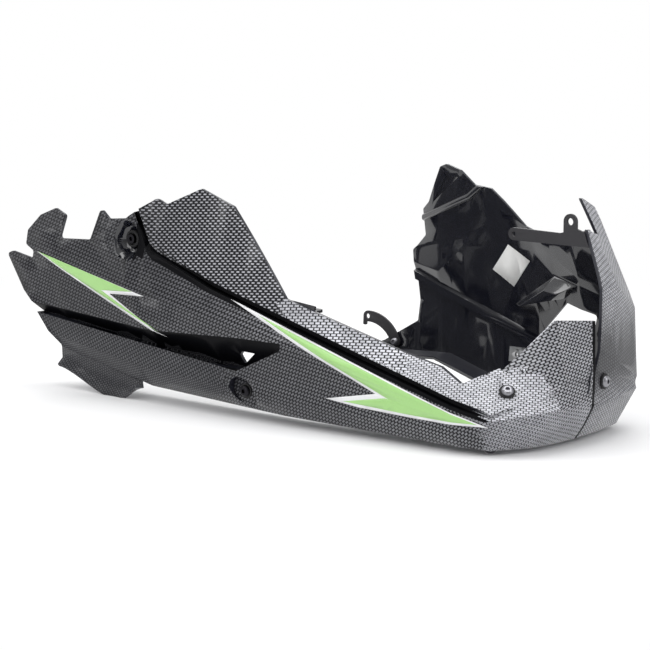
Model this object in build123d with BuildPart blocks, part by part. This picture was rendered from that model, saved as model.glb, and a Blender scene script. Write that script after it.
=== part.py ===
"""Two-piece motorcycle belly pan: two formed ABS halves, steel brackets and their fasteners.

Millimetres, +Z up, +X to the nose, the right half at -Y. The origin lies on the floor under the middle.
Each half is a loft of thin sheet profiles. The profiles follow lines that run along the sheet, given as
(x, height) or (x, half width) knots, and fan round the nose to the seam between the halves.
"""

import os
from math import hypot

from build123d import *

os.makedirs("parts", exist_ok=True)

# Sheet and overall size
wall = 3.0
crown = 1.2
overall_length = 632.0
nose_x = overall_length / 2
tail_x = -overall_length / 2
half_width = 118.0
seam_gap = 0.5
fit_gap = 0.3
seat_lift = 0.2
trim_r = 3.0
trim_reach = 150.0

# Screws, washers and nuts, all of one thread size
thread_d = 6.0
head_d = 11.0
head_h = 3.3
socket_d = 4.0
socket_depth = 2.0
washer_d = 14.0
washer_t = 1.5
hole_d = 6.6
screw_length = 13.0
nut_w = 14.0
nut_length = 18.0
nut_t = 1.2
nut_skirt = 3.0
nut_collar = 4.0
strap_head_d = 8.5
foot_z = head_h + washer_t

# Groove that both halves share at the nose
groove_w = 106.0
groove_height = 7.0
groove_depth = 5.0
groove_bend_x = -46.0
groove_end_x = nose_x - 43.0
groove_end_z = 35.0
strip_end_x = nose_x - 80.0
keel_flange = 30.0

# Right half: stations and lines along the side
skirt_x = tail_x + 72.0
crease_bend_x = tail_x + 195.0
slot_foot_x = -7.0
slot_end_x = 46.0
groove_exit_x = tail_x + 166.0
groove_knee_x = tail_x + 186.0
side_stations = (
    tail_x,
    skirt_x,
    groove_exit_x,
    groove_knee_x,
    crease_bend_x,
    groove_bend_x,
    slot_foot_x,
    slot_end_x,
    strip_end_x,
)
groove_line = (
    (tail_x, 221.0),
    (groove_exit_x, 201.0),
    (groove_knee_x, 157.0),
    (crease_bend_x, 148.5),
    (groove_bend_x, 121.0),
    (groove_end_x, groove_end_z),
)
groove_rise = (
    (tail_x, 2 * groove_height),
    (groove_knee_x, 2 * groove_height),
    (crease_bend_x, groove_height),
    (groove_end_x, groove_height),
)
fin_top = ((tail_x, 232.0), (groove_bend_x, 226.0), (90.0, 140.0), (strip_end_x, 84.0))
fin_lean = ((tail_x, 0.26), (groove_bend_x, 0.28), (90.0, 0.42), (strip_end_x, 0.85))
crease_z = ((tail_x, 146.0), (crease_bend_x, 105.0), (slot_end_x, 80.0), (strip_end_x, 38.0))
crease_w = ((tail_x, 116.0), (crease_bend_x, half_width), (slot_end_x, 113.0), (strip_end_x, 106.5))
slot_z = ((tail_x, 85.0), (crease_bend_x, 71.0), (slot_foot_x, 76.0), (slot_end_x, 76.5), (strip_end_x, 33.0))
slot_w = ((tail_x, 111.0), (crease_bend_x, 112.0), (slot_end_x, 113.0), (strip_end_x, 106.4))
recess_z = ((tail_x, 78.0), (crease_bend_x, 52.0), (slot_foot_x, 43.0), (slot_end_x, 73.0), (strip_end_x, 28.0))
recess_w = ((tail_x, 106.0), (crease_bend_x, 90.0), (slot_foot_x, 90.0), (slot_end_x, 112.5), (strip_end_x, 106.2))
rail_z = ((tail_x, 77.0), (slot_foot_x, 45.0), (slot_end_x, 69.5), (strip_end_x, 24.0))
rail_w = ((tail_x, 112.0), (slot_foot_x, 114.0), (slot_end_x, 113.5), (strip_end_x, 106.0))
belly_z = ((tail_x, 67.0), (skirt_x, 52.0), (crease_bend_x, 34.0), (slot_end_x, 26.0), (strip_end_x, 16.0))
belly_w = ((tail_x, 113.0), (slot_foot_x, 116.5), (slot_end_x, 115.0), (strip_end_x, 104.0))
keel_z = ((tail_x, 58.0), (skirt_x, 40.0), (crease_bend_x, 16.0), (slot_end_x, 9.0), (strip_end_x, foot_z))
keel_w = ((tail_x, 107.0), (slot_end_x, 108.0), (strip_end_x, 98.0))

# Right half: nose
bow_y = 98.0
bow_heading = 35.0
shelf_y = 61.0
shelf_top = (nose_x - 58.0, 70.0)
shelf_corner = (nose_x - 9.0, 39.0)
front_y = 35.0
front_top = (nose_x - 19.0, 115.0)
front_corner = (nose_x - 5.5, 37.0)
seam_top = (nose_x - 2.0, 112.0)
seam_corner = (nose_x - 2.0, 36.0)
chin_x = nose_x - 28.0
chin_back_x = nose_x - 58.0

# Right half: side view of the trim, tail skirt, pockets, vent and tongue
tail_tip_z = 129.0
horn_z = 179.0
fin_peak_z = 208.0
skirt_rim = ((tail_x + 68.0, 23.0), (tail_x + 116.0, 6.0), (tail_x + 161.0, 2.0), (tail_x + 178.0, 16.0))
skirt_flare = 6.0
side_pocket_x = 2.0
side_pocket_z = 27.0
side_pocket_size = (17.0, 12.0)
side_pocket_tilt = -30.0
side_pocket_depth = 7.0
tail_pocket_x = tail_x + 165.0
tail_pocket_z = 156.0
tail_rim_w = 114.0
tail_floor_size = (11.0, 13.0)
tail_mouth_size = (16.0, 22.0)
tail_pocket_depth = 15.0
grommet_d = 17.0
grommet_h = 4.0
grommet_lip = 1.5
bolt_head_d = 9.0
vent_hole = ((2.0, 71.0), (12.0, 65.0), (-14.0, 48.0), (-14.0, 58.0))
foot_inset = 21.0
front_screw_x = nose_x - 36.0
front_screw_y = 14.0
tongue_w = 44.0
tongue_h = 26.0
tongue_shift = 6.0
tongue_root = 6.0
tongue_gap = fit_gap + 2 * seat_lift

# Left half: stations and lines along the side, then the front wrap
left_rear_x = strip_end_x - 258.0
left_edge_x = left_rear_x + 59.0
left_crease_x = left_rear_x + 90.0
left_rise_x = left_rear_x + 103.0
left_facet_x = left_rear_x + 120.0
left_bend_x = strip_end_x - 107.0
left_mid_x = strip_end_x - 95.0
left_crest_x = strip_end_x - 76.0
left_rib_x = strip_end_x - 56.0
left_low_x = strip_end_x - 32.0
left_stations = (
    left_rear_x,
    left_edge_x,
    left_crease_x,
    left_rise_x,
    left_facet_x,
    left_bend_x,
    left_mid_x,
    left_crest_x,
    left_rib_x,
    left_low_x,
    strip_end_x,
)
left_tab_w = 109.6
left_w = (
    (left_rear_x, left_tab_w),
    (left_edge_x, left_tab_w),
    (left_crease_x, 106.5),
    (left_mid_x, 108.0),
    (strip_end_x, groove_w),
)
left_groove = ((left_rear_x, 135.0), (groove_end_x, groove_end_z))
left_top = ((left_rear_x, 235.0), (strip_end_x, 222.0))
left_lean = ((left_rear_x, 0.12), (left_bend_x, 0.15), (strip_end_x, 0.22))
left_high_z = (
    (left_rear_x, 165.0),
    (left_edge_x, 143.0),
    (left_facet_x, 158.0),
    (left_bend_x, 175.0),
    (left_crest_x, 184.0),
    (left_rib_x, 174.0),
    (left_low_x, 153.0),
    (strip_end_x, 134.0),
)
left_high_out = 3.5
left_fold_z = (
    (left_rear_x, 121.0),
    (left_crease_x, 123.0),
    (left_facet_x, 150.0),
    (left_rib_x, 153.0),
    (left_low_x, 134.0),
    (strip_end_x, 126.0),
)
left_fold_out = (
    (left_rear_x, 3.0),
    (left_crease_x, -4.0),
    (left_facet_x, 1.0),
    (left_rib_x, 6.5),
    (left_low_x, 5.5),
    (strip_end_x, 5.0),
)
left_keel_z = (
    (left_rear_x, 34.0),
    (left_rise_x, 40.0),
    (left_mid_x, 22.0),
    (left_low_x, 8.0),
    (strip_end_x, foot_z),
)
left_keel_w = ((left_rear_x, 107.0), (strip_end_x, 98.0))
left_bow = (nose_x - 48.0, 103.0)
left_bow_heading = 158.0
left_corner = (nose_x - 14.0, 88.0)
left_corner_heading = 130.0
left_front_y = 40.0
left_top_z = 232.0
left_top_x = nose_x - 49.0
left_fold_x = nose_x - 3.0
left_wrap_z = 139.0
bow_turn = 0.65
corner_turn = 0.85
front_turn = 0.67
seam_turn = 0.515
front_dish = 3.0
wrap_sweep = 14.0
fold_sweep = 6.0
left_peak_z = 229.0
lip_y = 24.0
lip_z = 188.0
notch_y = 44.0
notch_z = 181.0
wing_y = 40.0
wing_z = 214.0
wing_back_y = 60.0
left_vent = ((nose_x - 130.0, 74.0), (nose_x - 97.0, 107.0), (nose_x - 64.0, 98.0), (nose_x - 70.0, 74.0))
bead_line = ((left_edge_x + 9.0, 173.0), (left_facet_x + 12.0, 199.5), (left_facet_x + 30.0, 213.0))
bead_r = 3.2
bead_sink = 0.4
dent_corners = ((left_rise_x + 2.0, 218.0), (left_facet_x, 217.0), (left_crease_x - 5.0, 190.0))
dent_depth = 1.4
scoop_mouth = (
    (left_rib_x - 24.0, 99.0),
    (left_low_x + 2.0, 132.0),
    (left_low_x + 29.0, 125.0),
    (left_low_x + 15.0, 111.0),
)
scoop_crest = (
    (left_rib_x - 6.0, 101.0),
    (left_low_x, 119.0),
    (left_low_x + 15.0, 117.0),
    (left_low_x + 10.0, 111.0),
)
scoop_rise = 14.0

# Steel brackets and clip nuts
plate_t = 2.5
front_plate_y = 20.0
front_plate_z = (172.5, 184.0)
front_foot_y = 38.0
hook_x = nose_x - 105.0
hook_hole_d = 4.4
ear_x = nose_x - 44.0
ear_z = 194.0
ear_r = 7.0
mount_d = 6.5
rear_hook_x = left_rear_x - 2.0
rear_hook_z = 68.0
hook_lug = (4.0, 9.0)
rear_seat_x = left_rear_x + 34.0
rear_seat_z = 46.0
strap_w = 11.0
right_plate_x = (38.0, 72.0)
right_plate_top = (117.0, 113.0)
right_leg_x = (50.0, 66.0)
right_leg_root = 1.2
right_leg_z = 103.0
right_leg_reach = 24.0
right_leg_r = 6.0
strap_eye_d = 5.0
rear_clip_x = left_rear_x + 12.0
rear_clip_y = 90.0
front_clip_x = left_crest_x
front_clip_z = 50.0


def along(x, knots):
    """Value at x of a line given by its knots."""
    for (x_a, a), (x_b, b) in zip(knots, knots[1:]):
        if x <= x_b:
            return a + (b - a) * (x - x_a) / (x_b - x_a)
    return knots[-1][1]


def between(start, end, shares, rise=crown):
    """Points on a slightly crowned line from start down to end."""
    leg_n, leg_z = end[0] - start[0], end[1] - start[1]
    lift = 4 * rise / hypot(leg_n, leg_z)
    return [
        (start[0] + leg_n * s - leg_z * lift * s * (1 - s), start[1] + leg_z * s + leg_n * lift * s * (1 - s))
        for s in shares
    ]


def upright(x, y, heading):
    """Vertical section plane: local x points outward (0 is -Y, 90 is +X, 180 is +Y), local y is up."""
    out = Vector(0, -1, 0).rotate(Axis.Z, heading)
    return Plane(origin=(x, y, 0), x_dir=out, z_dir=(out.Y, -out.X, 0))


def inward(points, depth):
    """The line through the points, moved towards the inside of the pan by depth, with mitred corners."""
    legs = [(b[0] - a[0], b[1] - a[1]) for a, b in zip(points, points[1:])]
    normals = [(dz / hypot(dn, dz), -dn / hypot(dn, dz)) for dn, dz in legs]
    normals = [normals[0], *normals, normals[-1]]
    moved = []
    for (n, z), (a_n, a_z), (b_n, b_z) in zip(points, normals, normals[1:]):
        reach = depth / (1 + a_n * b_n + a_z * b_z)
        moved.append((n + (a_n + b_n) * reach, z + (a_z + b_z) * reach))
    return moved


def sheet_profile(points, start=0.0, depth=wall):
    """Closed profile of a sheet between two depths below the line through the points."""
    return [*inward(points, start), *reversed(inward(points, start + depth))]


def cut_section(plane, outline):
    """Closed section on its plane, for a loft."""
    with BuildSketch(plane) as profile:
        with BuildLine():
            Polyline(*outline, close=True)
        make_face()
    return profile.sketch


def facet_seat(sections, first, row, down=0.5):
    """Seat plane on one facet between two neighbouring sections of a half, a share of the way down it."""
    corners = [
        plane.from_local_coords(Vector(*points[k], 0))
        for plane, points in sections[first : first + 2]
        for k in (row, row + 1)
    ]
    middle = (corners[0] + corners[2]) * (1 - down) / 2 + (corners[1] + corners[3]) * down / 2
    normal = (corners[3] - corners[0]).cross(corners[2] - corners[1])
    if normal.dot(middle - Vector(0, 0, middle.Z)) < 0:
        normal = -normal
    return Plane(middle, x_dir=corners[2] - corners[0], z_dir=normal).offset(seat_lift)


def right_side(x):
    """Outer line of the right half at x, from the fin's top to the keel flange."""
    mid_z = along(x, groove_line)
    rise = along(x, groove_rise)
    top_z = max(along(x, fin_top), mid_z + rise)
    keel = (along(x, keel_w), along(x, keel_z))
    return [
        (groove_w - along(x, fin_lean) * (top_z - mid_z), top_z),
        (groove_w - 1.0, mid_z + rise / 2),
        (groove_w - groove_depth, mid_z + rise / 4),
        (groove_w - groove_depth, mid_z - rise / 4),
        (groove_w, mid_z - rise / 2),
        (along(x, crease_w), along(x, crease_z)),
        (along(x, slot_w), along(x, slot_z)),
        (along(x, recess_w), along(x, recess_z)),
        (along(x, rail_w), along(x, rail_z)),
        (along(x, belly_w), along(x, belly_z)),
        keel,
        (keel[0] - keel_flange, keel[1]),
    ]


def right_bow():
    """Outer line where the side turns into the nose, measured from the groove's end."""
    face = [(-48.0, groove_end_z + 44.0), (-1.0, groove_end_z + 3.0), (-2.0, groove_end_z + 1.0)]
    lower = between((0.0, groove_end_z - 3.0), (-7.0, foot_z), (0, 0.2, 0.34, 0.48, 0.62, 0.8, 1))
    return [*face, (-1.5, groove_end_z - 1.0), *lower, (-7.0 - keel_flange, foot_z)]


def right_nose(top, corner, foot_x):
    """Outer line of the right half's nose from a top point over the chin corner to the bottom flange."""
    face = between(top, corner, (0, 0.70, 0.78, 0.86, 1))
    chin = between(corner, (foot_x, foot_z), (0.22, 0.36, 0.5, 0.64, 0.8, 1))
    return [*face, *chin, (chin_back_x, foot_z)]


def left_side(x):
    """Outer line of the left half at x, from the wall's top to the keel flange."""
    mid_z = along(x, left_groove)
    top_z = along(x, left_top)
    high_z = along(x, left_high_z)
    fold_z = max(along(x, left_fold_z), mid_z + 12.0)
    lean = along(x, left_lean)
    lip_w = along(x, left_w)
    keel = (along(x, left_keel_w), along(x, left_keel_z))
    return [
        (lip_w - lean * (top_z - mid_z), top_z),
        (lip_w - lean * (high_z - mid_z) + left_high_out, high_z),
        (lip_w - lean * (fold_z - mid_z) + along(x, left_fold_out), fold_z),
        (lip_w - 1.0, mid_z + groove_height / 2),
        (lip_w - groove_depth, mid_z + groove_height / 4),
        (lip_w - groove_depth, mid_z - groove_height / 4),
        (lip_w, mid_z - groove_height / 2),
        keel,
        (keel[0] - keel_flange, keel[1]),
    ]


def wrap_line(y, share):
    """Point (x, z) of the left half's front at y: share 0 is its top edge, 1 is the fold below."""
    sweep = y / left_front_y - 0.5
    top = (left_top_x - wrap_sweep * sweep, left_top_z)
    fold = (left_fold_x - fold_sweep * sweep, left_wrap_z)
    return between(top, fold, (share,), 0)[0]


def left_nose(top, fold, corner, foot_x, back_x, turn, dish):
    """Outer line of the left half's front wrap, hollowed by dish below a share turn of its face."""
    face = between(fold, corner, (0, turn))
    hollow = between(face[-1], corner, (0.4, 0.7, 1), -dish)
    return [top, *between(top, fold, (0.9,)), *face, *hollow, (foot_x, foot_z), (back_x, foot_z)]


right_sections = [(upright(x, 0, 0), right_side(x)) for x in side_stations] + [
    (upright(groove_end_x, -bow_y, bow_heading), right_bow()),
    (upright(0, -shelf_y, 90), right_nose(shelf_top, shelf_corner, chin_x)),
    (upright(0, -front_y, 90), right_nose(front_top, front_corner, chin_x + 6.0)),
    (upright(0, -seam_gap / 2, 90), right_nose(seam_top, seam_corner, chin_x + 8.0)),
]
bow_lines = left_nose(
    (-26.0, left_top_z - 4.0), (0.0, 112.0), (0.0, groove_end_z), -8.0, -8.0 - keel_flange, bow_turn, crown
)
corner_lines = left_nose(
    (-52.0, left_top_z), (-3.0, 112.0), (0.0, 38.0), -18.0, -18.0 - keel_flange, corner_turn, crown
)
front_lines = left_nose(
    *[wrap_line(left_front_y, share) for share in (0, 1)],
    front_corner,
    chin_x + 6.0,
    chin_back_x,
    front_turn,
    front_dish,
)
seam_lines = left_nose(
    *[wrap_line(0, share) for share in (0, 1)], seam_corner, chin_x + 8.0, chin_back_x, seam_turn, front_dish
)
left_sections = [(upright(x, 0, 180), left_side(x)) for x in left_stations] + [
    (upright(*left_bow, left_bow_heading), bow_lines),
    (upright(*left_corner, left_corner_heading), corner_lines),
    (upright(0, left_front_y, 90), front_lines),
    (upright(0, seam_gap / 2, 90), seam_lines),
]

# Seats for the fasteners: each plane lies on the face under the washer, with z away from the sheet
side_floor = along(side_pocket_x, belly_w) - side_pocket_depth
tail_floor = tail_rim_w - tail_pocket_depth
side_seat = Plane((side_pocket_x, -side_floor, side_pocket_z), x_dir=(1, 0, 0), z_dir=(0, -1, 0))
tail_seat = Plane((tail_pocket_x, -tail_floor, tail_pocket_z), x_dir=(1, 0, 0), z_dir=(0, -1, 0))
nose_seat = facet_seat(right_sections, len(side_stations), 0, 0.66)
seam_seat = facet_seat(left_sections, len(left_sections) - 2, 4, 0.52)
right_bow_plane = right_sections[len(side_stations)][0]
left_bow_plane = left_sections[len(left_stations)][0]
right_foot_seat, left_foot_seat = [
    Plane(bow.from_local_coords(Vector(-foot_inset, foot_z, 0)), x_dir=bow.z_dir, z_dir=(0, 0, -1))
    for bow in (right_bow_plane, left_bow_plane)
]
front_foot_seat = Plane((front_screw_x, front_screw_y, foot_z), x_dir=(1, 0, 0), z_dir=(0, 0, -1))


def left_wall_seat(x, z):
    """Seat on the outer face of the left half's lower wall, local x to the rear and local y up."""
    lip, keel = left_side(x)[6:8]
    share = (z - lip[1]) / (keel[1] - lip[1])
    w = lip[0] + (keel[0] - lip[0]) * share
    return Plane((x, w, z), x_dir=(-1, 0, 0), z_dir=(0, lip[1] - keel[1], keel[0] - lip[0]))


clip_run = along(left_rise_x, left_keel_z) - along(left_rear_x, left_keel_z), left_rise_x - left_rear_x
rear_clip_seat = Plane(
    (rear_clip_x, rear_clip_y, along(rear_clip_x, left_keel_z)),
    x_dir=(clip_run[1], 0, clip_run[0]),
    z_dir=(clip_run[0], 0, -clip_run[1]),
)
front_clip_seat = left_wall_seat(front_clip_x, front_clip_z)
rear_wall_seat = left_wall_seat(rear_seat_x, rear_seat_z)

# Everything inside the right half's outer face, to end the pocket bosses flush with it
plug_sections = []
for x in side_stations:
    outline = right_side(x)
    plug_sections.append(cut_section(upright(x, 0, 0), [*outline, (0.0, outline[-1][1]), (0.0, outline[0][1])]))
with BuildPart() as right_plug:
    loft(plug_sections, ruled=True)

with BuildPart() as pocket_bosses:
    with BuildSketch(side_seat.offset(-wall)):
        Ellipse(side_pocket_size[0] + wall, side_pocket_size[1] + wall, rotation=side_pocket_tilt)
    extrude(amount=side_pocket_depth * 3)
    with BuildSketch(tail_seat.offset(-wall)):
        Ellipse(tail_floor_size[0] + wall, tail_floor_size[1] + wall)
    with BuildSketch(tail_seat.offset(tail_pocket_depth)):
        Ellipse(tail_mouth_size[0] + wall, tail_mouth_size[1] + wall)
    loft()
    add(right_plug.part, mode=Mode.INTERSECT)

with BuildPart() as right_panel:
    loft([cut_section(plane, sheet_profile(points)) for plane, points in right_sections], ruled=True)
    add(pocket_bosses.part)
    # side view of the trimmed sheet: tail tip, horn, notch, fin, strip and nose
    with BuildSketch(Plane.XZ):
        with BuildLine():
            FilletPolyline(
                (tail_x, tail_tip_z),
                (tail_x + 8.0, tail_tip_z + 3.0),
                (tail_x + 37.0, tail_tip_z - 2.0),
                (tail_x + 40.0, tail_tip_z + 6.0),
                (tail_x + 29.0, tail_tip_z + 12.0),
                (tail_x + 30.0, horn_z - 24.0),
                (tail_x + 46.0, horn_z - 8.0),
                (tail_x + 66.0, horn_z),
                (tail_x + 81.0, horn_z - 6.0),
                (tail_x + 75.0, 150.0),
                (tail_x + 117.0, 152.0),
                (tail_x + 128.0, 183.0),
                (tail_x + 140.0, 174.0),
                (tail_x + 162.0, 176.0),
                (tail_x + 190.0, 196.0),
                (tail_x + 202.0, 191.0),
                (groove_bend_x - 30.0, fin_peak_z),
                (groove_bend_x + 10.0, fin_peak_z - 14.0),
                (slot_end_x - 4.0, 116.0),
                (strip_end_x - 60.0, 81.0),
                (strip_end_x - 22.0, 72.0),
                (strip_end_x + 2.0, 60.0),
                (nose_x - 54.0, 76.0),
                (nose_x - 52.0, 140.0),
                (nose_x + 10.0, 140.0),
                (nose_x + 10.0, -10.0),
                (skirt_x, -10.0),
                (skirt_x, 39.0),
                (tail_x + 36.0, 76.0),
                (tail_x + 20.0, 93.0),
                radius=trim_r,
                close=True,
            )
        make_face()
    extrude(amount=trim_reach, both=True, mode=Mode.INTERSECT)
    # curved skirt under the tail
    skirt_sections = []
    for x, rim_z in skirt_rim:
        keel = (along(x, keel_w), along(x, keel_z))
        skirt = [
            (keel[0] + 3.5, keel[1] + 9.0),
            (keel[0] - 0.5, keel[1] - 1.0),
            (keel[0] - 1.0, (rim_z + keel[1]) / 2 - 3.0),
            (keel[0] + skirt_flare, rim_z),
        ]
        skirt_sections.append(cut_section(upright(x, 0, 0), sheet_profile(skirt)))
    loft(skirt_sections)
    # pocket hollows
    with BuildSketch(side_seat):
        Ellipse(*side_pocket_size, rotation=side_pocket_tilt)
    extrude(amount=side_pocket_depth * 3, mode=Mode.SUBTRACT)
    with BuildSketch(tail_seat):
        Ellipse(*tail_floor_size)
    with BuildSketch(tail_seat.offset(tail_pocket_depth)):
        Ellipse(*tail_mouth_size)
    loft(mode=Mode.SUBTRACT)
    # see-through vent at the front end of the side recess
    with BuildSketch(Plane.XZ.offset(groove_w / 2)):
        with BuildLine():
            FilletPolyline(*vent_hole, radius=trim_r / 2, close=True)
        make_face()
    extrude(amount=groove_w / 2 - wall, mode=Mode.SUBTRACT)
    # tongue behind the left half's front, for the seam screw
    with BuildSketch(seam_seat.offset(-wall - tongue_gap)):
        with Locations((tongue_shift, 0)):
            Rectangle(tongue_w, tongue_h)
    extrude(amount=-wall)
    with BuildSketch(seam_seat.offset(-wall - tongue_gap)):
        with Locations((tongue_shift + (tongue_w - tongue_root) / 2, 0)):
            Rectangle(tongue_root, tongue_h)
    extrude(amount=tongue_gap + front_dish + wall / 2)
    split(bisect_by=Plane.XY, keep=Keep.TOP)
    # screw holes
    for seat in (side_seat, tail_seat, nose_seat, right_foot_seat, seam_seat):
        with Locations(seat):
            Cylinder(hole_d / 2, 8 * wall, mode=Mode.SUBTRACT)

right_panel.part.label = "right_panel"
export_step(right_panel.part, "parts/right_panel.step")


def left_inner(x, z):
    """Point on the inner face of the left half's wall."""
    outer = left_side(x)
    for (w_a, z_a), (w_b, z_b) in zip(outer, outer[1:]):
        if z >= z_b:
            break
    return Vector(x, w_b + (w_a - w_b) * (z - z_b) / (z_a - z_b) - wall, z)


def inner_plane(corners):
    """Plane on the inner face through the first three of the corners, z to the inside of the pan."""
    a, b, c = [left_inner(x, z) for x, z in corners[:3]]
    normal = (b - a).cross(c - a)
    return Plane(a, x_dir=b - a, z_dir=normal if normal.Y < 0 else -normal)


def wall_patch(plane, corners, height):
    """Four-sided or three-sided patch parallel to the plane at a height, over corners given as (x, z)."""
    shift = plane.offset(height)
    local = [plane.to_local_coords(left_inner(x, z)) for x, z in corners]
    return cut_section(shift, [(v.X, v.Y) for v in local])


bead_points = [left_inner(x, z) - Vector(0, bead_sink, 0) for x, z in bead_line]
scoop_plane = inner_plane(scoop_mouth)
dent_plane = inner_plane(dent_corners)
with BuildPart() as left_panel:
    loft([cut_section(plane, sheet_profile(points)) for plane, points in left_sections], ruled=True)
    # bead along the upper wall, dent under the peak, and a scoop over the vent
    for start, end in zip(bead_points, bead_points[1:]):
        with BuildSketch(Plane(start, z_dir=end - start)):
            Circle(bead_r)
        extrude(amount=(end - start).length)
        with Locations(start):
            Sphere(bead_r)
    extrude(wall_patch(dent_plane, dent_corners, 0.0), dent_depth, dir=dent_plane.z_dir, both=True, mode=Mode.SUBTRACT)
    loft([wall_patch(scoop_plane, scoop_mouth, -wall / 2), wall_patch(scoop_plane, scoop_crest, scoop_rise)], ruled=True)
    # side view of the trimmed sheet
    with BuildSketch(Plane.XZ):
        with BuildLine():
            FilletPolyline(
                (left_rear_x, 20.0),
                (left_rear_x, 39.0),
                (left_rear_x + 18.0, 46.0),
                (left_edge_x + 1.0, 70.0),
                (left_edge_x + 3.0, 91.0),
                (left_edge_x - 7.0, 140.0),
                (left_edge_x + 11.0, 156.0),
                (left_edge_x + 11.0, 182.0),
                (left_edge_x + 20.0, 190.0),
                (left_crease_x + 9.0, left_peak_z - 3.0),
                (left_crease_x + 17.0, left_peak_z),
                (left_facet_x + 4.0, left_peak_z - 5.0),
                (left_facet_x + 19.0, 211.0),
                (left_bend_x + 8.0, 209.0),
                (left_bend_x + 21.0, 199.0),
                (nose_x - 140.0, 176.0),
                (nose_x - 111.0, 167.0),
                (nose_x - 66.0, 167.0),
                (nose_x - 64.0, left_top_z + 10.0),
                (nose_x + 10.0, left_top_z + 10.0),
                (nose_x + 10.0, -10.0),
                (left_rear_x + 42.0, -10.0),
                radius=trim_r,
                close=True,
            )
        make_face()
    extrude(amount=trim_reach, both=True, mode=Mode.INTERSECT)
    # front view of what is cut away: seam edge, lip, notch and wing tip
    with BuildSketch(Plane.YZ.offset(strip_end_x + 10.0)):
        with BuildLine():
            FilletPolyline(
                (-20.0, seam_corner[1]),
                (seam_gap / 2, seam_corner[1]),
                (8.0, 101.0),
                (9.0, left_wrap_z),
                (lip_y, lip_z),
                (notch_y, notch_z),
                (wing_y, wing_z),
                (wing_back_y, wing_z - 10.0),
                (wing_back_y + 16.0, 167.0),
                (140.0, 167.0),
                (140.0, left_top_z + 10.0),
                (-20.0, left_top_z + 10.0),
                radius=trim_r / 2,
                close=True,
            )
        make_face()
    extrude(amount=nose_x - strip_end_x, mode=Mode.SUBTRACT)
    with BuildSketch(Plane.XZ):
        with BuildLine():
            FilletPolyline(*left_vent, radius=trim_r, close=True)
        make_face()
    extrude(amount=-trim_reach, mode=Mode.SUBTRACT)
    for seat in (seam_seat, left_foot_seat, front_foot_seat, rear_wall_seat, rear_clip_seat, front_clip_seat):
        with Locations(seat):
            Cylinder(hole_d / 2, 3 * wall, mode=Mode.SUBTRACT)

left_panel.part.label = "left_panel"
export_step(left_panel.part, "parts/left_panel.step")


def wrap_inner_x(y, z):
    """Inner face of the left half's front at y and z, less a fitting gap."""
    top, fold = wrap_line(y, 0), wrap_line(y, 1)
    lean = (fold[0] - top[0]) / (top[1] - fold[1])
    return top[0] + (top[1] - z) * lean - (wall + fit_gap) * hypot(1, lean)


with BuildPart() as front_bracket:
    # plate with a hook eye at the rear end and an ear near the front
    low_z, high_z = front_plate_z
    hook_r = (high_z - low_z) / 2
    end_y = front_plate_y + plate_t
    with BuildSketch(Plane.XZ.offset(-front_plate_y)):
        with BuildLine():
            Polyline(
                (hook_x, low_z),
                (wrap_inner_x(end_y, low_z), low_z),
                (wrap_inner_x(end_y, high_z + 2.0), high_z + 2.0),
                (ear_x + ear_r, high_z + 4.0),
                (ear_x - ear_r - 4.0, high_z - 1.0),
                (hook_x, high_z),
                close=True,
            )
        make_face()
        with Locations((hook_x, low_z + hook_r)):
            Circle(hook_r)
        with Locations((ear_x, (ear_z + low_z) / 2)):
            Rectangle(2 * ear_r, ear_z - low_z)
        with Locations((ear_x, ear_z)):
            Circle(ear_r)
            Circle(mount_d / 2, mode=Mode.SUBTRACT)
        with Locations((hook_x, low_z + hook_r)):
            Circle(hook_hole_d / 2, mode=Mode.SUBTRACT)
    extrude(amount=-plate_t)
    # foot bent along the inner face of the front wrap
    foot_sections = []
    for y in (front_plate_y, front_foot_y):
        low_x, high_x = wrap_inner_x(y, low_z), wrap_inner_x(y, high_z + 2.0)
        foot_outline = [(low_x, low_z), (high_x, high_z + 2.0), (high_x - plate_t, high_z + 2.0), (low_x - plate_t, low_z)]
        foot_sections.append(cut_section(Plane.XZ.offset(-y), foot_outline))
    loft(foot_sections, ruled=True)

front_bracket.part.label = "front_bracket"
export_step(front_bracket.part, "parts/front_bracket.step")

hook_at = (rear_seat_x - rear_hook_x, rear_hook_z - rear_seat_z)
strap_line = ThreePointArc((0, 0), (14.0, 16.0), hook_at)
with BuildPart() as left_rear_bracket:
    # curved strap on the inner face of the rear tab, with an eye at its free end
    with BuildSketch(rear_wall_seat.offset(-wall - fit_gap)):
        SlotArc(strap_line, strap_w)
        with Locations((hook_at[0] + (strap_w - hook_lug[0]) / 2, hook_at[1] - hook_lug[1] / 2)):
            RectangleRounded(hook_lug[0], hook_lug[1], hook_lug[0] / 3)
        Circle(hole_d / 2, mode=Mode.SUBTRACT)
        with Locations(hook_at):
            Circle(strap_eye_d / 2, mode=Mode.SUBTRACT)
    extrude(amount=-plate_t)

left_rear_bracket.part.label = "left_rear_bracket"
export_step(left_rear_bracket.part, "parts/left_rear_bracket.step")

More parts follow.
